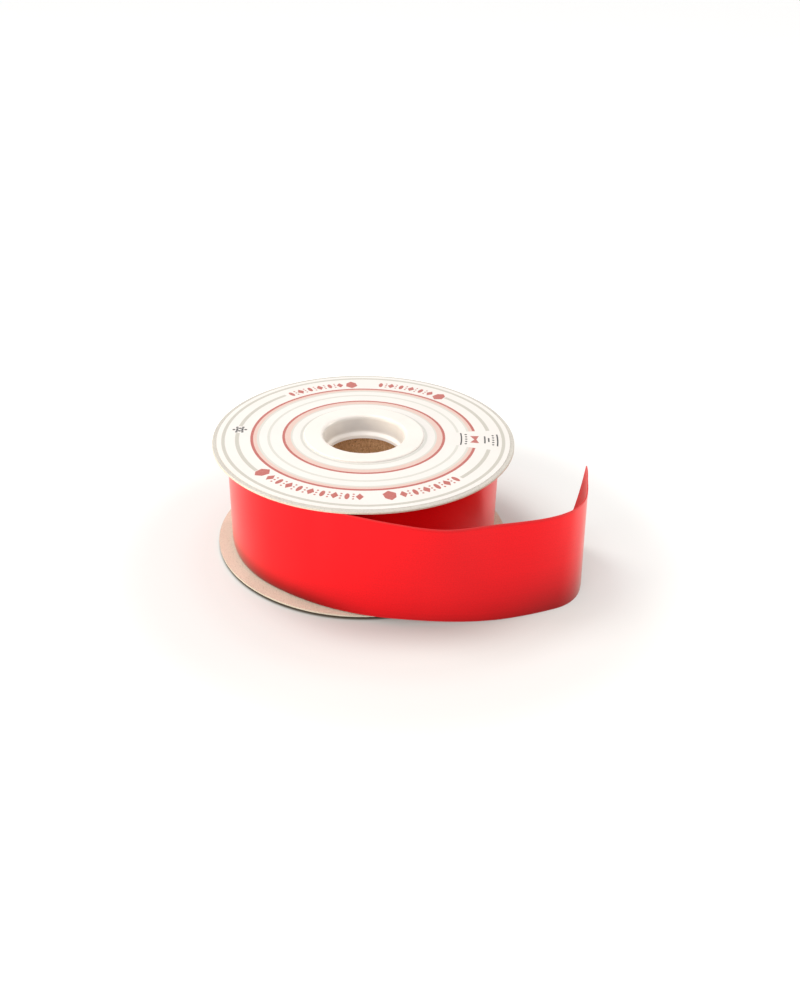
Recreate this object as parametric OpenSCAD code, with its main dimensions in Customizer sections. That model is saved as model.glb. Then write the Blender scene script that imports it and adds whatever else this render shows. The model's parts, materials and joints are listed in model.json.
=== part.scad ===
// Ribbon spool: two board flanges clamped to a kraft tube by pressed-in hubs,
// with a roll of ribbon whose free end leaves the last turn and curls back.
// Origin at the middle of the spindle bore, +Z along the bore.

/* [Flanges] */
// Diameter of each flange
flange_d = 101.6; // [85:0.1:130]
// Thickness of the flange board
board_t = 0.75; // [0.65:0.05:2]
// Radius of the pressed shoulder round the board's outer face
shoulder_r = 0.3; // [0.1:0.1:0.6]

/* [Face papers] */
// Thickness of the printed paper on each flange's outer face
paper_t = 0.15; // [0.1:0.05:0.3]
// Bare board left outside the paper, all round
paper_margin = 1.5; // [1:0.1:5]

/* [Ribbon] */
// Width of the ribbon
ribbon_w = 36.5; // [24:0.5:60]
// Thickness of the ribbon
ribbon_t = 0.3; // [0.2:0.05:0.5]
// Diameter over the last turn of the wound ribbon
wound_d = 92; // [60:0.5:100]
// Gap between the last turn and the roll inside it
turn_gap = 0.2; // [0.1:0.05:0.5]
// Play between the ribbon's edges and each flange
end_play = 0.3; // [0.1:0.05:1]

/* [Ribbon tail] */
// Angle round the spool at which the tail leaves the last turn
leave_angle = 230; // [0:1:359]
// Radius of the first sweep away from the roll
lead_r = 78; // [60:1:120]
// Turn of the first sweep
lead_turn = 44; // [10:1:60]
// Radius of the long run
run_r = 114; // [60:1:200]
// Turn of the long run
run_turn = 18.5; // [5:0.5:40]
// Radius of the bend where the tail turns back
bend_r = 17; // [8:0.5:30]
// Turn of the bend
bend_turn = 47; // [20:1:90]
// Radius of the curl at the free end
curl_r = 45; // [20:1:120]
// Turn of the curl
curl_turn = 42; // [30:1:60]
// Slant of the cut across the free end
cut_slant = 20; // [0:1:24]

/* [Hubs] */
// Diameter of the bearing lip, the bore for a spindle
bore_d = 25.4; // [20:0.1:30]
// Height of the bearing lip
lip_h = 1.1; // [0.6:0.1:3]
// Depth of the lip below the face paper
lip_depth = 6.6; // [4:0.1:12]
// Step from the lip out to the mouth's wall
lip_step = 0.6; // [0.4:0.1:3]
// Height of the sloping ledge between the lip and the wall
ledge_h = 1.3; // [0.4:0.1:2]
// Draft of the mouth's wall, from the ledge up to the head
mouth_draft = 0.5; // [0.1:0.1:1]
// Rounding of the mouth's edge
mouth_round = 1.2; // [0.2:0.1:1.5]
// Wall of the sleeve round the mouth
sleeve_wall = 1; // [0.8:0.1:2]
// Width of the head beyond the sleeve
head_rim = 5.5; // [3:0.1:10]
// Thickness of the head
head_t = 0.7; // [0.4:0.1:2]
// Rounding of the head's outer edge
head_round = 0.4; // [0.1:0.1:0.4]

/* [Core tube] */
// Wall of the tube
tube_wall = 1.6; // [1:0.1:3]
// Radial gap round the hub sleeves, filled by glue
fit_gap = 0.05; // [0.03:0.01:0.1]

/* [Starter tape] */
// Thickness of the tape
tape_t = 0.15; // [0.1:0.05:0.3]
// Width of the tape along the tube
tape_w = 24; // [10:1:24]
// Length of tape round the tube
tape_len = 16; // [8:1:40]

/* [Hidden] */
$fn = 128;

// Radii from the bore outwards
bore_r = bore_d / 2;
throat_r = bore_r + lip_step;
mouth_r = throat_r + mouth_draft;
sleeve_r = mouth_r + sleeve_wall;
head_r = sleeve_r + head_rim;
tube_in_r = sleeve_r + fit_gap;
tube_out_r = tube_in_r + tube_wall;
roll_in_r = tube_out_r + tape_t;
last_turn_out_r = wound_d / 2;
last_turn_in_r = last_turn_out_r - ribbon_t;
roll_out_r = last_turn_in_r - turn_gap;
flange_r = flange_d / 2;
paper_r = flange_r - paper_margin;

// Heights above the middle of the spool
flange_in_z = ribbon_w / 2 + end_play;
paper_z = flange_in_z + board_t;
face_z = paper_z + paper_t;
head_z = face_z + head_t;
lip_top_z = face_z - lip_depth;
lip_low_z = lip_top_z - lip_h;
ledge_top_z = lip_top_z + ledge_h;

// Finest step round each sweep of the tail
sweep_step = 3;

// Where the tail leaves, and the heading and centre of each of its sweeps
leave_r = last_turn_out_r - ribbon_t / 2;
// The last turn starts only where the leaving tail is clear of it
clear_len = sqrt(2 * (ribbon_t + turn_gap) / (1 / leave_r - 1 / lead_r));
seam_angle = clear_len / leave_r * 180 / PI;
tail_sweeps = [
    [lead_r, lead_turn], [run_r, run_turn], [bend_r, bend_turn], [curl_r, curl_turn]
];
function heading(i) = i == 0 ? leave_angle + 90 : heading(i - 1) + tail_sweeps[i - 1][1];
function side(h) = [-sin(h), cos(h)];
function sweep_start(i) =
    i == 0 ? leave_r * [cos(leave_angle), sin(leave_angle)]
    : sweep_centre(i - 1) - tail_sweeps[i - 1][0] * side(heading(i));
function sweep_centre(i) = sweep_start(i) + tail_sweeps[i][0] * side(heading(i));

// Points along the tail, offset outwards from its middle line
function sweep_points(i, offset) =
    let (steps = ceil(tail_sweeps[i][1] / sweep_step))
    [
        for (k = [i == 0 ? 0 : 1:steps])
            let (h = heading(i) + tail_sweeps[i][1] * k / steps)
            sweep_centre(i) - (tail_sweeps[i][0] + offset) * side(h)
    ];
function tail_side(offset) =
    [for (i = [0:len(tail_sweeps) - 1]) for (p = sweep_points(i, offset)) p];
function reversed(list) = [for (k = [len(list) - 1:-1:0]) list[k]];

module ring(r_in, r_out, z, h) {
    translate([0, 0, z])
        difference() {
            cylinder(r = r_out, h = h);
            translate([0, 0, -1]) cylinder(r = r_in, h = h + 2);
        }
}

// Wall of width t round a centre, from one angle through a turn
module arc_wall(r, t, from, turn, h) {
    rotate([0, 0, from])
        translate([0, 0, -h / 2])
            rotate_extrude(angle = turn)
                translate([r - t / 2, 0]) square([t, h]);
}

// Board disc whose outer face ends in a rounded shoulder
module flange_board() {
    rotate_extrude()
        translate([0, flange_in_z])
            difference() {
                translate([tube_in_r, 0]) square([flange_r - tube_in_r, board_t]);
                translate([flange_r - shoulder_r, board_t - shoulder_r]) corner_cut(shoulder_r);
            }
}

module face_paper() {
    ring(tube_in_r, paper_r, paper_z, paper_t);
}

// Bush with a head on the face, a sleeve in the tube and a bearing lip inside
module hub() {
    rotate_extrude()
        difference() {
            union() {
                polygon([
                    [bore_r, lip_low_z], [sleeve_r, lip_low_z], [sleeve_r, head_z],
                    [mouth_r, head_z], [throat_r, ledge_top_z], [bore_r, lip_top_z]
                ]);
                translate([mouth_r, face_z]) square([head_r - mouth_r, head_t]);
            }
            // Rounded edges of the mouth and of the head
            translate([mouth_r + mouth_round, head_z - mouth_round]) rotate(90) corner_cut(mouth_round);
            translate([head_r - head_round, head_z - head_round]) corner_cut(head_round);
        }
}

// Waste outside a rounded corner that points towards +X and +Y
module corner_cut(r) {
    difference() {
        square(2 * r);
        circle(r = r);
    }
}

module at_bottom() {
    mirror([0, 0, 1]) children();
}

module top_flange() {
    color("tan") flange_board();
}

module bottom_flange() {
    color("tan") at_bottom() flange_board();
}

module top_face_paper() {
    color("white") face_paper();
}

module bottom_face_paper() {
    color("white") at_bottom() face_paper();
}

module core_tube() {
    color("saddlebrown") ring(tube_in_r, tube_out_r, -flange_in_z, 2 * flange_in_z);
}

module top_hub() {
    color("whitesmoke") hub();
}

module bottom_hub() {
    color("whitesmoke") at_bottom() hub();
}

module starter_tape() {
    turn = tape_len / tube_out_r * 180 / PI;
    color("khaki") arc_wall(tube_out_r + tape_t / 2, tape_t, leave_angle, turn, tape_w);
}

module ribbon_roll() {
    color("red") ring(roll_in_r, roll_out_r, -ribbon_w / 2, ribbon_w);
}

module ribbon_last_turn() {
    color("red")
        arc_wall(leave_r, ribbon_t, leave_angle + seam_angle, 360 - seam_angle, ribbon_w);
}

// Space beyond the slanted cut, which starts at the curl's lower end
module beyond_cut() {
    last = len(tail_sweeps);
    room = 4 * ribbon_w;
    end = sweep_start(last);
    translate([end[0], end[1], -ribbon_w / 2])
        rotate([0, 0, heading(last)])
            rotate([0, -cut_slant, 0])
                translate([0, -ribbon_w / 4, -room / 2]) cube([ribbon_w, ribbon_w / 2, room]);
}

module ribbon_tail() {
    color("red")
        difference() {
            linear_extrude(height = ribbon_w, center = true)
                polygon(concat(tail_side(ribbon_t / 2), reversed(tail_side(-ribbon_t / 2))));
            beyond_cut();
        }
}

top_flange();
top_face_paper();
bottom_flange();
bottom_face_paper();
core_tube();
top_hub();
bottom_hub();
starter_tape();
ribbon_roll();
ribbon_last_turn();
ribbon_tail();
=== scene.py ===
"""Ribbon spool: finishes, printed faces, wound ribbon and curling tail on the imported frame."""
import json
import math
import random

import bmesh
import bpy
from mathutils import Matrix, Vector, noise


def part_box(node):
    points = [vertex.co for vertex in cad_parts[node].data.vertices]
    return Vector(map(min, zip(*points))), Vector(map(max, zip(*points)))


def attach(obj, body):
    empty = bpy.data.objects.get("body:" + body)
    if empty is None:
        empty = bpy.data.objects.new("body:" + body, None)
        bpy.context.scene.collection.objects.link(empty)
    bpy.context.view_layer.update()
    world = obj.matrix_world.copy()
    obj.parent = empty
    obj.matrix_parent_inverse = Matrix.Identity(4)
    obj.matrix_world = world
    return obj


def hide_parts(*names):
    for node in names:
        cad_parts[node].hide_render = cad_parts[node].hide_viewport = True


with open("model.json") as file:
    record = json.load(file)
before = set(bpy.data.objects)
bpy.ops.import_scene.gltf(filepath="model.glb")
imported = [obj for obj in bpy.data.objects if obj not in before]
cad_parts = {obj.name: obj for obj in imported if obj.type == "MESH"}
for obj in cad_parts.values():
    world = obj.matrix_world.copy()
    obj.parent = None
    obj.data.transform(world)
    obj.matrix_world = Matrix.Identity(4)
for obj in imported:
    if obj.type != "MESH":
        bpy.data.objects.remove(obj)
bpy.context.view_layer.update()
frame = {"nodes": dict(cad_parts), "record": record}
nodes = frame["nodes"]
MM = 0.001
TAU = 2 * math.pi


# ---------------------------------------------------------------- sizes from the frame
def half_width(node):
    lo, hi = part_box(node)
    return (hi[0] - lo[0]) / 2


ROLL_R = half_width("ribbon_roll")
TUBE_R = half_width("core_tube")
FACE_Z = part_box("top_face_paper")[1][2]
FLOOR_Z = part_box("bottom_hub")[0][2]
RIBBON_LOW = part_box("ribbon_roll")[0][2]
RIBBON_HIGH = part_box("ribbon_roll")[1][2]
RIBBON_W = RIBBON_HIGH - RIBBON_LOW

# The same values as the part's source, in metres and degrees
RIBBON_T = 0.3 * MM
TURN_GAP = 0.2 * MM
LEAVE_ANGLE = 230
TAIL_SWEEPS = [(78 * MM, 44), (114 * MM, 18.5), (17 * MM, 47), (45 * MM, 42)]
CUT_SLANT = 20
LAST_TURN_IN_R = ROLL_R + TURN_GAP
LEAVE_R = LAST_TURN_IN_R + RIBBON_T / 2


# ---------------------------------------------------------------- mesh helpers
def new_object(name, bm, material, smooth=True):
    mesh = bpy.data.meshes.new(name)
    bmesh.ops.recalc_face_normals(bm, faces=bm.faces)
    bm.to_mesh(mesh)
    bm.free()
    for poly in mesh.polygons:
        poly.use_smooth = smooth
    obj = bpy.data.objects.new(name, mesh)
    bpy.context.scene.collection.objects.link(obj)
    mesh.materials.append(material)
    return obj


def sharpen(obj, degrees=40):
    """Marks edges sharper than the angle, so that smooth shading stops at them."""
    bm = bmesh.new()
    bm.from_mesh(obj.data)
    for edge in bm.edges:
        edge.smooth = edge.is_manifold and edge.calc_face_angle(0) < math.radians(degrees)
    bm.to_mesh(obj.data)
    bm.free()


# ---------------------------------------------------------------- material helpers
class Shader:
    """A Principled material and short ways to add nodes to it."""

    def __init__(self, name, **values):
        self.mat = bpy.data.materials.new(name)
        self.mat.use_nodes = True
        self.tree = self.mat.node_tree
        self.bsdf = next(n for n in self.tree.nodes if n.type == "BSDF_PRINCIPLED")
        self.set(self.bsdf, **values)

    @staticmethod
    def set(node, **values):
        for key, value in values.items():
            node.inputs[key].default_value = value

    def node(self, kind, props=None, **values):
        made = self.tree.nodes.new(kind)
        for key, value in (props or {}).items():
            setattr(made, key, value)
        self.set(made, **values)
        return made

    def link(self, out, into):
        self.tree.links.new(out, into)
        return into

    def coords(self, scale=(1, 1, 1), source="Object"):
        """Coordinates in metres in the row frame, times scale."""
        tex = self.node("ShaderNodeTexCoord")
        mapping = self.node("ShaderNodeMapping", Scale=scale)
        self.link(tex.outputs[source], mapping.inputs["Vector"])
        return mapping.outputs["Vector"]

    def noise(self, vector, scale, detail=3.0, rough=0.5):
        tex = self.node("ShaderNodeTexNoise", Scale=scale, Detail=detail, Roughness=rough)
        self.link(vector, tex.inputs["Vector"])
        return tex.outputs["Fac"]

    def ramp(self, factor, stops, smooth=False):
        """Colour or grey stops [(position, value)] picked by factor."""
        ramp = self.node("ShaderNodeValToRGB")
        ramp.color_ramp.interpolation = "EASE" if smooth else "LINEAR"
        elements = ramp.color_ramp.elements
        while len(elements) < len(stops):
            elements.new(0.5)
        for element, (position, value) in zip(elements, stops):
            element.position = position
            element.color = (*value, 1) if isinstance(value, tuple) else (value, value, value, 1)
        self.link(factor, ramp.inputs["Fac"])
        return ramp.outputs["Color"]

    def mix(self, factor, a, b, blend="MIX"):
        node = self.node("ShaderNodeMix", {"data_type": "RGBA", "blend_type": blend})
        for value, slot in ((factor, 0), (a, 6), (b, 7)):
            if isinstance(value, bpy.types.NodeSocket):
                self.link(value, node.inputs[slot])
            else:
                node.inputs[slot].default_value = (*value, 1) if isinstance(value, tuple) else value
        return node.outputs[2]

    def math(self, operation, a, b=0.0):
        node = self.node("ShaderNodeMath", {"operation": operation})
        for value, slot in ((a, 0), (b, 1)):
            if isinstance(value, bpy.types.NodeSocket):
                self.link(value, node.inputs[slot])
            else:
                node.inputs[slot].default_value = value
        return node.outputs[0]

    def above(self, low, high):
        """0 to 1 as the distance from the middle of the spool's height goes from low to high."""
        place = self.node("ShaderNodeSeparateXYZ")
        self.link(self.coords(), place.inputs["Vector"])
        span = self.node("ShaderNodeMapRange", **{"From Min": low, "From Max": high})
        self.link(self.math("ABSOLUTE", place.outputs["Z"]), span.inputs["Value"])
        return span.outputs["Result"]

    def color(self, socket):
        self.link(socket, self.bsdf.inputs["Base Color"])

    def roughness(self, factor, low, high):
        span = self.node("ShaderNodeMapRange", **{"To Min": low, "To Max": high})
        self.link(factor, span.inputs["Value"])
        self.link(span.outputs["Result"], self.bsdf.inputs["Roughness"])

    def bump(self, *layers):
        """layers of (height socket, distance in metres), each on top of the one before."""
        before = None
        for height, distance in layers:
            node = self.node("ShaderNodeBump", Strength=1.0, Distance=distance)
            self.link(height, node.inputs["Height"])
            if before:
                self.link(before, node.inputs["Normal"])
            before = node.outputs["Normal"]
        self.link(before, self.bsdf.inputs["Normal"])


# ---------------------------------------------------------------- materials
# The darker faced colour is partly the board's grey facing and partly painted shade on the flanges' outer rim
# edges
BOARD_FACE_Z = (0.01895, 0.01915)  # from raw inside to faced outside, by height from the middle
# Painted light on the hub's ledge fades out over this height
HUB_LIT_LEDGE_Z = (0.0137, 0.0150)  # from the ledge up to the head
TUBE_LAPS_PER_M = 38.0  # how steeply the tube's strips climb


def chipboard():
    m = Shader("chipboard", Roughness=0.85, **{"Specular IOR Level": 0.25})
    fine = m.noise(m.coords(), 2600, detail=4, rough=0.65)
    cloud = m.noise(m.coords(), 90, detail=2)
    bare = m.ramp(cloud, [(0.3, (0.52, 0.46, 0.38)), (0.7, (0.58, 0.515, 0.43))])
    # Faced outside: the board's grey facing, made darker as painted shade on the rims' outer edges
    faced = m.ramp(cloud, [(0.3, (0.44, 0.42, 0.39)), (0.7, (0.49, 0.47, 0.435))])
    base = m.mix(m.above(*BOARD_FACE_Z), bare, faced)
    fibre = m.ramp(fine, [(0.34, (0.72, 0.70, 0.68)), (0.5, (1.0, 1.0, 1.0)), (0.72, (1.06, 1.05, 1.03))])
    toned = m.mix(0.8, base, fibre, "MULTIPLY")
    flecks = m.ramp(m.noise(m.coords((1, 0.55, 3)), 900, detail=1), [(0.70, 0.0), (0.76, 1.0)])
    m.color(m.mix(m.math("MULTIPLY", flecks, 0.45), toned, (0.36, 0.27, 0.19)))
    # Plies of the board, seen on its cut edge
    plies = m.noise(m.coords((0.02, 0.02, 1)), 4200, detail=1)
    m.bump((fine, 0.00006), (plies, 0.00005))
    return m.mat


def coated_paper():
    m = Shader("coated_paper", Roughness=0.4, **{"Specular IOR Level": 0.45})
    fibre = m.noise(m.coords(), 1500, detail=4, rough=0.6)
    cloud = m.noise(m.coords(), 60, detail=2)
    base = m.ramp(cloud, [(0.3, (0.62, 0.595, 0.575)), (0.7, (0.645, 0.62, 0.60))])
    m.color(m.mix(0.5, base, m.ramp(fibre, [(0.35, 0.95), (0.6, 1.0)]), "MULTIPLY"))
    m.roughness(fibre, 0.34, 0.5)
    m.bump((fibre, 0.00002), (cloud, 0.00012))
    return m.mat


def printed_ink(name, color, worn):
    """Ink on the coated paper, a little mottled where the paper shows through."""
    m = Shader(name, Roughness=0.38, **{"Specular IOR Level": 0.5})
    grain = m.noise(m.coords(), 2400, detail=3, rough=0.7)
    thin = m.ramp(grain, [(0.42, 0.0), (0.75, worn)])
    m.color(m.mix(thin, color, (0.635, 0.61, 0.59)))
    m.bump((grain, 0.00001))
    return m.mat


def hub_plastic():
    m = Shader("hub_plastic", Roughness=0.32, **{"Specular IOR Level": 0.5})
    cloud = m.noise(m.coords(), 120, detail=2)
    grain = m.noise(m.coords(), 3200, detail=2)
    face = m.ramp(cloud, [(0.3, (0.635, 0.60, 0.57)), (0.7, (0.66, 0.625, 0.595))])
    # Painted light: the plastic is painted whiter down on the ledge, where light from above falls on it
    m.color(m.mix(m.above(*HUB_LIT_LEDGE_Z), (0.92, 0.88, 0.84), face))
    m.roughness(cloud, 0.26, 0.4)
    m.bump((grain, 0.000012), (cloud, 0.0001))
    return m.mat


def kraft():
    m = Shader("kraft", Roughness=0.85, **{"Specular IOR Level": 0.2})
    fine = m.noise(m.coords((1, 1, 0.5)), 2200, detail=5, rough=0.75)
    speck = m.noise(m.coords(), 1100, detail=2, rough=0.6)
    base = m.ramp(fine, [(0.3, (0.33, 0.18, 0.085)), (0.5, (0.60, 0.345, 0.175)), (0.72, (0.80, 0.53, 0.31))])
    dark = m.ramp(speck, [(0.30, 1.0), (0.40, 0.0)])
    # Spiral lap of the wound strips: a line that climbs with the angle
    place = m.node("ShaderNodeSeparateXYZ")
    m.link(m.coords(), place.inputs[0])
    angle = m.math("DIVIDE", m.math("ARCTAN2", place.outputs["Y"], place.outputs["X"]), TAU)
    climb = m.math("ADD", m.math("MULTIPLY", place.outputs["Z"], TUBE_LAPS_PER_M), angle)
    lap = m.math("FRACT", climb)
    seam = m.ramp(lap, [(0.0, 0.0), (0.965, 0.0), (0.98, 1.0), (1.0, 0.0)])
    shade = m.mix(m.math("MULTIPLY", dark, 0.5), base, (0.07, 0.035, 0.015))
    m.color(m.mix(m.math("MULTIPLY", seam, 0.6), shade, (0.10, 0.05, 0.022)))
    m.bump((fine, 0.0001), (seam, -0.0001))
    return m.mat


def masking_tape():
    m = Shader("masking_tape", Roughness=0.6)
    crepe = m.noise(m.coords((1, 1, 0.12)), 1400, detail=2)
    m.color(m.ramp(crepe, [(0.35, (0.62, 0.49, 0.25)), (0.65, (0.76, 0.64, 0.38))]))
    m.bump((crepe, 0.0001))
    return m.mat


# Where the strip leaves the roll and where its end begins, by length along it in metres; the satin's painted
# shade changes over these
LEAVES_ROLL = (0.289, 0.318)
END_BEGINS = (0.332, 0.38)


def satin(name, tone, rough, metal=0.5, gloss=0.3, sheen=0.28):
    """Red satin on UVs in metres: u runs along the ribbon and v across it."""
    m = Shader(name, Roughness=rough, Metallic=metal, **{
        "Specular IOR Level": gloss,
        "Sheen Weight": sheen,
        "Sheen Roughness": 0.35,
        "Sheen Tint": (1.0, 0.76, 0.6, 1.0),
    })
    warp = m.noise(m.coords((9, 1400, 1), "UV"), 1.0, detail=3, rough=0.6)
    weft = m.noise(m.coords((1800, 90, 1), "UV"), 1.0, detail=1)
    cloud = m.noise(m.coords((40, 25, 1), "UV"), 1.0, detail=1)
    low = tuple(c * 0.95 for c in tone)
    base = m.ramp(cloud, [(0.25, low), (0.75, tone)], smooth=True)
    grain = m.noise(m.coords((2400, 2000, 1), "UV"), 1.0, detail=2, rough=0.7)
    thread = m.mix(0.3, base, m.ramp(warp, [(0.3, 0.88), (0.7, 1.0)]), "MULTIPLY")
    thread = m.mix(1.0, thread, m.ramp(grain, [(0.3, 0.86), (0.7, 1.0)]), "MULTIPLY")
    # Painted shade: darker towards both edges, by share of the width, and further in at the loose end
    place = m.node("ShaderNodeSeparateXYZ")
    m.link(m.coords((1, 1, 1), "UV"), place.inputs["Vector"])
    share = m.math("DIVIDE", place.outputs["Y"], RIBBON_W)
    wound = m.ramp(share, [(0.0, 0.25), (0.06, 0.5), (0.15, 0.85), (0.25, 1.0), (0.965, 1.0), (1.0, 0.75)])
    free = m.ramp(share, [(0.0, 0.65), (0.03, 0.88), (0.1, 0.97), (0.25, 1.0), (0.965, 1.0), (1.0, 0.7)])
    loose = m.ramp(share, [(0.0, 0.4), (0.12, 0.6), (0.28, 0.84), (0.5, 1.0), (0.965, 1.0), (1.0, 0.75)])
    left_roll = m.ramp(place.outputs["X"], [(LEAVES_ROLL[0], 0.0), (LEAVES_ROLL[1], 1.0)], smooth=True)
    at_end = m.ramp(place.outputs["X"], [(END_BEGINS[0], 0.0), (END_BEGINS[1], 1.0)], smooth=True)
    painted_shade = m.mix(at_end, m.mix(left_roll, wound, free), loose)
    m.color(m.mix(1.0, thread, painted_shade, "MULTIPLY"))
    m.bump((warp, 0.000006), (weft, 0.000005), (grain, 0.000012))
    return m.mat


MATERIALS = {
    "flange_board": chipboard(),
    "face_paper": coated_paper(),
    "kraft_tube": kraft(),
    "hub_plastic": hub_plastic(),
    "tape": masking_tape(),
}
for part in frame["record"]["subparts"]:
    look = MATERIALS.get(part["material_slot"])
    if look:
        for slot in nodes[part["node"]].material_slots:
            slot.material = look

RED = (0.87, 0.003, 0.009)
satin_face = satin("satin_face", RED, 0.3)
# The back is duller and painted darker: partly the satin's own back, partly painted shade inside the curled
# end
satin_back_shaded = satin("satin_back_shaded", (0.74, 0.008, 0.010), 0.5, metal=0.2, sheen=0.08)
satin_edge = satin("satin_edge", (0.85, 0.008, 0.014), 0.4, metal=0.2)


# ---------------------------------------------------------------- ribbon
def side(heading):
    return Vector((-math.sin(heading), math.cos(heading)))


def tail_path(step=0.8 * MM):
    """Middle line of the tail at its lower edge: (point, outward normal, length so far)."""
    rows = []
    heading = math.radians(LEAVE_ANGLE + 90)
    start = LEAVE_R * Vector((math.cos(math.radians(LEAVE_ANGLE)), math.sin(math.radians(LEAVE_ANGLE))))
    length = 0.0
    for radius, turn in TAIL_SWEEPS:
        turn = math.radians(turn)
        centre = start + radius * side(heading)
        count = max(4, math.ceil(radius * turn / step))
        for k in range(count + 1):
            if k or not rows:
                now = heading + turn * k / count
                rows.append((centre - radius * side(now), -side(now), length + radius * turn * k / count))
        start = centre - radius * side(heading + turn)
        heading += turn
        length += radius * turn
    return rows


def ease(x):
    x = min(1.0, max(0.0, x))
    return x * x * (3 - 2 * x)


def curve_through(table, x):
    """Smooth curve through [(x, value)] rows, level at both ends."""
    if x <= table[0][0]:
        return table[0][1]
    for k, ((x0, v0), (x1, v1)) in enumerate(zip(table, table[1:])):
        if x <= x1:
            before, after = table[max(k - 1, 0)], table[min(k + 2, len(table) - 1)]
            slope0 = (v1 - before[1]) / (x1 - before[0]) if k else 0.0
            slope1 = (after[1] - v0) / (after[0] - x0) if k + 2 < len(table) else 0.0
            t, span = (x - x0) / (x1 - x0), x1 - x0
            return (
                v0 * (1 + 2 * t) * (1 - t) ** 2 + v1 * t * t * (3 - 2 * t)
                + slope0 * span * t * (1 - t) ** 2 - slope1 * span * t * t * (1 - t)
            )
    return table[-1][1]


# How far the upper edge leans outwards, by length along the tail, in mm
LEAN = [
    (16, 0.0), (24, 0.7), (33, 1.6), (44, 3.2), (50, 4.25), (56, 4.7), (61, 4.2), (65, 3.3), (69, 2.4),
    (74, 1.6), (80, 1.5), (88, 1.7), (94, 1.3), (98, 0.55), (104, -0.6), (114, -1.6), (121, -1.8),
    (131, -0.6), (144, 0.4),
]
# The tail sinks from its height on the roll until its lower edge rests on the table
SINK = RIBBON_LOW - FLOOR_Z - 0.15 * MM
SINK_FROM, SINK_OVER = 44 * MM, 36 * MM
SELVEDGE = 0.5 * MM
TUCK, TUCK_OVER = 0.28 * MM, 1.6 * MM
# The tail's slow ripple, and how far from the roll it and the free shape take to set in
RIPPLE, RIPPLE_OVER, FREE_OVER = 0.07 * MM, 60 * MM, 30 * MM
# The length of the tail's end over which its rows turn towards the slanted cut
CUT_REACH = 36 * MM
LAST_TURN_ROWS = 220
THIN_SHARE, THIN_OVER = 0.15, 9 * MM


def edge_tuck(v):
    """How far the wound ribbon draws in towards its edges, at this share of the width."""
    return TUCK * max(0.0, 1 - min(v, 1 - v) * RIBBON_W / TUCK_OVER) ** 2


def tail_offset(length, v):
    """How far outwards a point of the tail stands at this length and share of the width."""
    wave = ease(length / RIPPLE_OVER) * noise.noise(Vector((length * 45, v * 1.1, 4.0)))
    free = ease(length / FREE_OVER)
    return curve_through(LEAN, length / MM) * MM * v + RIPPLE * wave - edge_tuck(v) * (1 - free)


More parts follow.
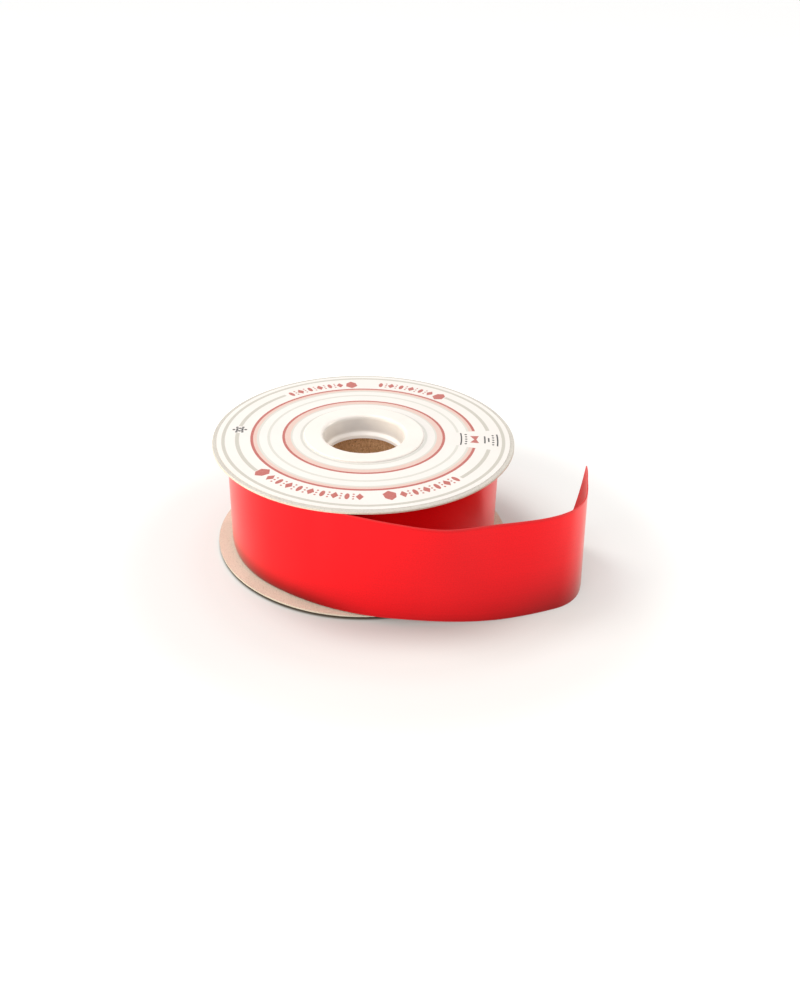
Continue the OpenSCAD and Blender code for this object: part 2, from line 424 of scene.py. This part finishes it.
def ribbon():
    """The last turn and the tail: one strip with an outer and an inner face."""
    arc = math.radians(360 - SEAM_ANGLE) * LEAVE_R
    path = tail_path()
    tail_length = path[-1][2]
    slant = math.tan(math.radians(CUT_SLANT))
    squeeze_from = tail_length - CUT_REACH

    def on_path(length):
        """Point and outward normal of the tail's middle line at a length."""
        at = length / tail_length * (len(path) - 1)
        lo = max(0, min(len(path) - 2, int(at)))
        while lo > 0 and path[lo][2] > length:
            lo -= 1
        while lo < len(path) - 2 and path[lo + 1][2] < length:
            lo += 1
        a, b = path[lo], path[lo + 1]
        t = (length - a[2]) / (b[2] - a[2])
        return a[0].lerp(b[0], t), a[1].lerp(b[1], t).normalized()

    edge = [0.0, SELVEDGE / RIBBON_W, 1.0 * MM / RIBBON_W, 1.6 * MM / RIBBON_W]
    levels = edge + [k / 14 for k in range(1, 14)] + [1 - v for v in reversed(edge)]
    rows = []
    for k in range(LAST_TURN_ROWS):
        run = arc * k / LAST_TURN_ROWS
        angle = math.radians(LEAVE_ANGLE + SEAM_ANGLE) + run / LEAVE_R
        out = Vector((math.cos(angle), math.sin(angle)))
        # Thin where it comes up out of the roll, so that the roll runs on into it
        thick = RIBBON_T * (THIN_SHARE + (1 - THIN_SHARE) * ease(run / THIN_OVER))
        row = [
            (out * (LAST_TURN_IN_R + thick / 2 - edge_tuck(v)), out, run, RIBBON_LOW + RIBBON_W * v, thick)
            for v in levels
        ]
        rows.append(row)
    for _, _, flat_length in path:
        # Rows near the end lean back more and more, to finish on the slanted cut
        share = max(0.0, (flat_length - squeeze_from) / (tail_length - squeeze_from))
        row = []
        for v in levels:
            length = flat_length - share * RIBBON_W * v * slant
            point, out = on_path(length)
            sunk = SINK * ease((length - SINK_FROM) / SINK_OVER)
            height = RIBBON_LOW + RIBBON_W * v - sunk
            row.append((point + out * tail_offset(length, v), out, arc + length, height, RIBBON_T))
        rows.append(row)

    bm = bmesh.new()
    uv = bm.loops.layers.uv.new("UVMap")
    verts, places = {}, {}
    for i, row in enumerate(rows):
        for j, (point, out, run, height, thick) in enumerate(row):
            for layer, sign in ((0, 1), (1, -1)):
                place = point + out * (sign * thick / 2)
                verts[i, j, layer] = bm.verts.new((place.x, place.y, height))
            places[i, j] = (run, RIBBON_W * levels[j])

    def quad(keys, material):
        face = bm.faces.new([verts[key] for key in keys])
        face.material_index = material
        for loop, key in zip(face.loops, keys):
            loop[uv].uv = places[key[:2]]

    last_row, last_level = len(rows) - 1, len(levels) - 1
    for i in range(last_row):
        for j in range(last_level):
            material = 1 if j in (0, last_level - 1) else 0
            quad([(i, j, 0), (i + 1, j, 0), (i + 1, j + 1, 0), (i, j + 1, 0)], material)
            quad([(i, j, 1), (i, j + 1, 1), (i + 1, j + 1, 1), (i + 1, j, 1)], material or 2)
        for j in (0, last_level):
            quad([(i, j, 0), (i, j, 1), (i + 1, j, 1), (i + 1, j, 0)], 1)
    for i in (0, last_row):
        for j in range(last_level):
            quad([(i, j, 0), (i, j + 1, 0), (i, j + 1, 1), (i, j, 1)], 1)
    obj = new_object("ribbon", bm, satin_face)
    obj.data.materials.append(satin_edge)
    obj.data.materials.append(satin_back_shaded)
    sharpen(obj)
    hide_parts("ribbon_last_turn", "ribbon_tail")
    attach(obj, "tail")


# The last turn starts only where the leaving tail is clear of it
clear_length = math.sqrt(2 * (RIBBON_T + TURN_GAP) / (1 / LEAVE_R - 1 / TAIL_SWEEPS[0][0]))
SEAM_ANGLE = math.degrees(clear_length / LEAVE_R)

# Layer edges of the wound turns, and how far each may stand low
LAYERS = 26
LAYER_PITCH = 0.32 * MM
LAYER_GROOVE = 0.04 * MM
LAYER_DROP = 0.35
LOWER_JITTER = 0.05
INNER_LAYERS_DROP = 0.3 * MM
TUBE_CLEAR, TURN_CLEAR = 0.2 * MM, 0.03 * MM
ROLL_STEPS = 240
WALL_UNEVEN = 0.05 * MM
# Heights down the wall, in mm from each edge
WALL_EDGE = [0.4, 0.8, 1.2, 1.7]
WALL_ROWS = 12


def wound_roll():
    """The turns under the last one: a slightly uneven wall, and stepped layer edges."""
    picks = random.Random(7)
    inner = TUBE_R + TUBE_CLEAR
    outer = LAST_TURN_IN_R - TURN_CLEAR
    first = outer - LAYERS * LAYER_PITCH
    heights = [RIBBON_HIGH - picks.uniform(0.0, LAYER_DROP) * MM for _ in range(LAYERS)]
    # From the inner top edge outwards over the layer edges
    upper = [(inner, RIBBON_HIGH - INNER_LAYERS_DROP), (first, RIBBON_HIGH - INNER_LAYERS_DROP)]
    for k, height in enumerate(heights):
        upper.append((first + k * LAYER_PITCH + LAYER_GROOVE, height))
        upper.append((first + (k + 1) * LAYER_PITCH - LAYER_GROOVE, height))
    width = RIBBON_W / MM
    start = WALL_EDGE[-1]
    down = WALL_EDGE + [start + (width - 2 * start) * k / WALL_ROWS for k in range(1, WALL_ROWS)]
    down += [width - h for h in reversed(WALL_EDGE)]
    wall = [(outer - edge_tuck(h * MM / RIBBON_W), RIBBON_HIGH - h * MM) for h in down]
    lower = []
    for r, z in reversed(upper):
        jitter = picks.uniform(-LOWER_JITTER, LOWER_JITTER) * MM
        lower.append((r, max(-z - jitter, RIBBON_LOW)))
    loop = upper + wall + lower
    lengths = [0.0]
    for a, b in zip(loop, loop[1:] + loop[:1]):
        lengths.append(lengths[-1] + math.hypot(b[0] - a[0], b[1] - a[1]))

    bm = bmesh.new()
    uv = bm.loops.layers.uv.new("UVMap")
    rings = []
    for i in range(ROLL_STEPS):
        angle = TAU * i / ROLL_STEPS
        cos, sin = math.cos(angle), math.sin(angle)
        ring = []
        for r, z in loop:
            if r > first - MM:
                r -= WALL_UNEVEN * (0.5 + 0.5 * noise.noise(Vector((2.2 * cos, 2.2 * sin, z * 60))))
            ring.append(bm.verts.new((r * cos, r * sin, z)))
        rings.append(ring)
    for i in range(ROLL_STEPS):
        here, ahead = rings[i], rings[(i + 1) % ROLL_STEPS]
        for k in range(len(loop)):
            n = (k + 1) % len(loop)
            face = bm.faces.new([here[k], ahead[k], ahead[n], here[n]])
            corners = ((i, k), (i + 1, k), (i + 1, k + 1), (i, k + 1))
            for corner, (step, row) in zip(face.loops, corners):
                corner[uv].uv = (step / ROLL_STEPS * TAU * outer, lengths[row])
    obj = new_object("wound_roll", bm, satin_face)
    sharpen(obj)
    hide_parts("ribbon_roll")
    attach(obj, "spool")


# ---------------------------------------------------------------- printed faces
INK_T = 0.02 * MM
INKS = {
    "grey": printed_ink("ink_grey", (0.42, 0.405, 0.365), 0.15),
    "pale_grey": printed_ink("ink_pale_grey", (0.50, 0.495, 0.46), 0.2),
    "red": printed_ink("ink_red", (0.37, 0.085, 0.07), 0.15),
    "pink": printed_ink("ink_pink", (0.56, 0.40, 0.355), 0.25),
    "black": printed_ink("ink_black", (0.03, 0.03, 0.035), 0.1),
}
# Arcs taken by marks, in degrees
PLATE = (-14.0, 5.0)
PLATE_MID = -4.5
BADGE = (172.0, 179.0)
NEAR_ARC = (217.0, 316.0)
FAR_ARC = (46.0, 132.0)
# Runs of ornaments along the two arcs, each led by a large one
NEAR_RUNS = [(220.0, 270.0), (281.0, 313.5)]
FAR_RUNS = [(49.0, 84.0), (96.5, 129.0)]
ORNAMENT_STEP = 5.3
FULL = [(0.0, 360.0)]
RING_STEPS = 200


def gaps(*taken):
    """The arcs left between the taken ones, which are in rising order."""
    spans = []
    for (_, end), (start, _) in zip(taken, taken[1:] + taken[:1]):
        while start <= end:
            start += 360
        spans.append((end, start))
    return spans


def ring_print(bm, r0, r1, spans):
    """Flat rings or arcs of ink, INK_T thick."""
    for start, end in spans:
        whole = end - start >= 359.9
        count = max(3, round(RING_STEPS * (end - start) / 360))
        rows = []
        for k in range(count if whole else count + 1):
            a = math.radians(start + (end - start) * k / count)
            section = ((r0, 0), (r1, 0), (r1, INK_T), (r0, INK_T))
            rows.append([bm.verts.new((r * math.cos(a), r * math.sin(a), z)) for r, z in section])
        for k in range(count):
            a, b = rows[k], rows[(k + 1) % len(rows)]
            for n in range(4):
                bm.faces.new([a[n], b[n], b[(n + 1) % 4], a[(n + 1) % 4]])
        if not whole:
            bm.faces.new(rows[0])
            bm.faces.new(list(reversed(rows[-1])))


def patch(bm, points):
    """A flat outline of ink, INK_T thick, from points in order round it."""
    low = [bm.verts.new((x, y, 0)) for x, y in points]
    high = [bm.verts.new((x, y, INK_T)) for x, y in points]
    bm.faces.new(list(reversed(low)))
    bm.faces.new(high)
    for k in range(len(points)):
        n = (k + 1) % len(points)
        bm.faces.new([low[k], low[n], high[n], high[k]])


def polar(r, degrees):
    a = math.radians(degrees)
    return (r * math.cos(a), r * math.sin(a))


def disc(half_long, half_wide, count):
    """Points round an ellipse."""
    return [
        (half_long * math.cos(TAU * k / count), half_wide * math.sin(TAU * k / count)) for k in range(count)
    ]


# Outlines of about unit size, outwards and sideways
SHAPES = {
    "leaf": [(-0.5, 0.0), (-0.2, -0.36), (0.25, -0.3), (0.5, 0.0), (0.25, 0.3), (-0.2, 0.36)],
    "oval": disc(0.46, 0.2, 12),
    "dot": disc(0.25, 0.25, 8),
    "diamond": [(-0.5, 0.0), (0.0, -0.32), (0.5, 0.0), (0.0, 0.32)],
}
# Along the arcs, in mm: radius and size of the leaf, of the ovals and diamonds, and of the dots
LEAF_R, LEAF_SIZE = 41.7, 5.8
BEAD_R, BEAD_SIZE = 41.9, 3.9
DOT_RS, DOT_SIZE = (40.5, 41.9, 43.3), 1.5
BEAD_SHIFT = 0.6
# The badge, in mm: where its middle is, the radii of its rings of dots, and a dot
BADGE_R, BADGE_ANGLE = 42.3, 175.5
BADGE_RINGS = (2.0, 1.0)
BADGE_DOTS = 6
BADGE_DOT = disc(0.5, 0.5, 8)
# The two halves of the bow, in mm, outwards and sideways
BOW_R = 37.4
BOW = (
    [(-0.1, 0.0), (-1.5, 2.4), (1.5, 2.6), (0.6, 0.0)],
    [(0.6, -0.05), (1.5, -2.6), (-1.5, -2.4), (-0.1, -0.05)],
)
# Rings of the face: ink, inner and outer radius in mm, and the arcs it covers
RINGS = [
    ("pale_grey", 20.7, 21.5, FULL),
    ("pale_grey", 24.1, 24.7, FULL),
    ("red", 26.6, 27.5, FULL),
    ("pink", 24.7, 26.6, FULL),
    ("pale_grey", 31.6, 32.5, gaps((-13.0, 4.0))),
    ("pale_grey", 35.2, 36.0, gaps(PLATE)),
    ("red", 37.2, 38.15, gaps(PLATE)),
    ("pink", 36.0, 37.2, gaps(PLATE)),
    ("grey", 41.9, 43.2, gaps(PLATE, FAR_ARC, BADGE, NEAR_ARC)),
    ("grey", 46.6, 47.7, FULL),
]
# Lines of the plate: radius and half length in mm
PLATE_LINES = ((33.0, 4.4), (40.9, 2.6), (42.2, 1.5), (45.2, 4.4))
PLATE_LINE_HALF = 0.24
PLATE_DOT_ROWS = (34.6, 43.7)
PLATE_DOT_STEP = PLATE_DOT_SIZE = 1.7


def motif(bm, r, degrees, size, kind):
    """A small ornament centred at radius r."""
    a = math.radians(degrees)
    points = []
    for along, across in SHAPES[kind]:
        pr, pt = r + along * size, across * size
        points.append((pr * math.cos(a) - pt * math.sin(a), pr * math.sin(a) + pt * math.cos(a)))
    patch(bm, points)


def print_ornaments(bm):
    """The runs along the two arcs: a leaf, then ovals and diamonds with dots between them."""
    for start, end in NEAR_RUNS + FAR_RUNS:
        motif(bm, LEAF_R * MM, start, LEAF_SIZE * MM, "leaf")
        for k in range(1, int((end - start) / ORNAMENT_STEP) + 1):
            at = start + BEAD_SHIFT + ORNAMENT_STEP * k
            motif(bm, BEAD_R * MM, at, BEAD_SIZE * MM, ("oval", "diamond")[k % 2])
            # The first dots would fall on the leaf
            for r in DOT_RS if k > 1 else ():
                motif(bm, r * MM, at - ORNAMENT_STEP / 2, DOT_SIZE * MM, "dot")


def print_badge(bm):
    """A small dotted ring."""
    centre = polar(BADGE_R * MM, BADGE_ANGLE)
    for k in range(BADGE_DOTS):
        for r in BADGE_RINGS:
            at = polar(r * MM, 360 / BADGE_DOTS * k + 30 * r)
            patch(bm, [(centre[0] + at[0] + x * MM, centre[1] + at[1] + y * MM) for x, y in BADGE_DOT])


def print_plate(black, red):
    """Lines and rows of dots on both sides of a bow."""
    for r, half in PLATE_LINES:
        spread = math.degrees(half / r)
        inner, outer = (r - PLATE_LINE_HALF) * MM, (r + PLATE_LINE_HALF) * MM
        ring_print(black, inner, outer, [(PLATE_MID - spread, PLATE_MID + spread)])
    for r in PLATE_DOT_ROWS:
        for k in range(-2, 3):
            at = PLATE_MID + math.degrees(PLATE_DOT_STEP * k / r)
            motif(black, r * MM, at, PLATE_DOT_SIZE * MM, "dot")
    centre = polar(BOW_R * MM, PLATE_MID)
    cos, sin = math.cos(math.radians(PLATE_MID)), math.sin(math.radians(PLATE_MID))
    for outline in BOW:
        turned = [(x * cos - y * sin, x * sin + y * cos) for x, y in outline]
        patch(red, [(centre[0] + x * MM, centre[1] + y * MM) for x, y in turned])


def print_face(side_name, sign):
    """All the ink of one face, one piece for each colour."""
    sheets = {name: bmesh.new() for name in INKS}
    for name, r0, r1, spans in RINGS:
        ring_print(sheets[name], r0 * MM, r1 * MM, spans)
    print_ornaments(sheets["red"])
    print_badge(sheets["black"])
    print_plate(sheets["black"], sheets["red"])
    for name, bm in sheets.items():
        obj_name = "print_%s_%s" % (side_name, name)
        for vert in bm.verts:
            z = vert.co.z + FACE_Z
            vert.co = (vert.co.x, vert.co.y * sign, z * sign)
        obj = new_object(obj_name, bm, INKS[name], smooth=False)
        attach(obj, "spool")


wound_roll()
ribbon()
print_face("top", 1)
print_face("bottom", -1)


# ---------------------------------------------------------------- floor, light and camera
# A pale floor that glows of itself, as painted light, and is painted greyer and glows less in a pool of
# painted shade round the spool; stops are in metres from its middle
SHADE_POOL_MIDDLE = (0.012, -0.01)
SHADED_FLOOR_STOPS = [(0.083, (0.36, 0.365, 0.36)), (0.134, (0.58, 0.58, 0.58))]
PAINTED_GLOW_STOPS = [
    (0.044, (0.15, 0.145, 0.14)), (0.063, (0.36, 0.355, 0.345)), (0.078, (0.41, 0.405, 0.40)),
    (0.135, (0.5, 0.5, 0.5)),
]
# Painted shadow under the spool: 1 on open floor, 0 under the spool between its hole and its rim, where the
# floor is painted dark and does not glow; stops are in decimetres
UNSHADED_FLOOR_STOPS = [(0.2, 1.0), (0.3, 0.0), (0.502, 0.0), (0.512, 1.0)]
PAINTED_SHADOW_UNDER_SPOOL = (0.13, 0.10, 0.07)
FLOOR_HALF = 6
FLOOR_GAP = 0.05 * MM


def floor():
    bm = bmesh.new()
    bmesh.ops.create_grid(bm, x_segments=1, y_segments=1, size=FLOOR_HALF)
    m = Shader("floor", Roughness=0.7, **{"Specular IOR Level": 0.2})

    def distance_from(x, y):
        node = m.node("ShaderNodeVectorMath", {"operation": "DISTANCE"})
        m.link(m.coords(), node.inputs[0])
        node.inputs[1].default_value = (x, y, 0)
        return node.outputs["Value"]

    away, from_axis = distance_from(*SHADE_POOL_MIDDLE), distance_from(0, 0)
    # Painted shadow: the floor under the spool's rim is painted dark
    unshaded_floor = m.ramp(m.math("MULTIPLY", from_axis, 10.0), UNSHADED_FLOOR_STOPS)
    # Painted shade: the floor's colour greys in a pool round the spool
    base = m.ramp(away, SHADED_FLOOR_STOPS, smooth=True)
    m.color(m.mix(unshaded_floor, PAINTED_SHADOW_UNDER_SPOOL, base))
    # Painted light: the floor glows, less in the pool round the spool and not at all under it
    painted_glow = m.ramp(away, PAINTED_GLOW_STOPS, smooth=True)
    m.link(m.mix(1.0, painted_glow, unshaded_floor, "MULTIPLY"), m.bsdf.inputs["Emission Color"])
    m.set(m.bsdf, **{"Emission Strength": 1.0})
    obj = new_object("floor", bm, m.mat, smooth=False)
    obj.location.z = FLOOR_Z - FLOOR_GAP


def area_light(name, place, size, power, color=(1, 1, 1)):
    """A round lamp aimed at the spool's middle."""
    lamp = bpy.data.lights.new(name, "AREA")
    lamp.shape = "DISK"
    lamp.size = size
    lamp.energy = power
    lamp.color = color
    obj = bpy.data.objects.new(name, lamp)
    obj.location = place
    obj.rotation_euler = (-Vector(place)).to_track_quat("-Z", "Y").to_euler()
    bpy.context.scene.collection.objects.link(obj)


def studio():
    world = bpy.data.worlds.new("studio")
    bpy.context.scene.world = world
    world.use_nodes = True
    sky = world.node_tree.nodes["Background"]
    sky.inputs["Color"].default_value = (1.0, 0.99, 0.975, 1)
    sky.inputs["Strength"].default_value = 0.80
    area_light("key", (-0.40, 0.13, 0.96), 0.45, 6.0, (1.0, 0.985, 0.965))
    area_light("side_fill", (-0.95, -0.3, 0.15), 0.5, 9.0, (1.0, 0.87, 0.66))
    area_light("right_fill", (0.95, 0.22, 0.34), 0.4, 4.5, (1.0, 0.93, 0.8))
    area_light("front_fill", (-0.45, -0.85, 0.65), 0.7, 3.6)


CAMERA_PLACE = Vector((-0.0004, -0.31044, 0.17508))
CAMERA_AIM = Vector((0.0124, -0.00797, 0.0))
CAMERA_ROLL = math.radians(1.475)


def camera():
    cam = bpy.data.cameras.new("camera")
    cam.sensor_width = 36
    cam.lens = 37.1
    cam.clip_start = 0.01
    cam.clip_end = 30
    obj = bpy.data.objects.new("camera", cam)
    look = (CAMERA_AIM - CAMERA_PLACE).to_track_quat("-Z", "Y").to_matrix().to_4x4()
    obj.matrix_world = Matrix.Translation(CAMERA_PLACE) @ look @ Matrix.Rotation(CAMERA_ROLL, 4, "Z")
    bpy.context.scene.collection.objects.link(obj)
    bpy.context.scene.camera = obj


floor()
studio()
camera()
bpy.context.scene.view_settings.view_transform = "Standard"
bpy.context.scene.view_settings.look = "None"
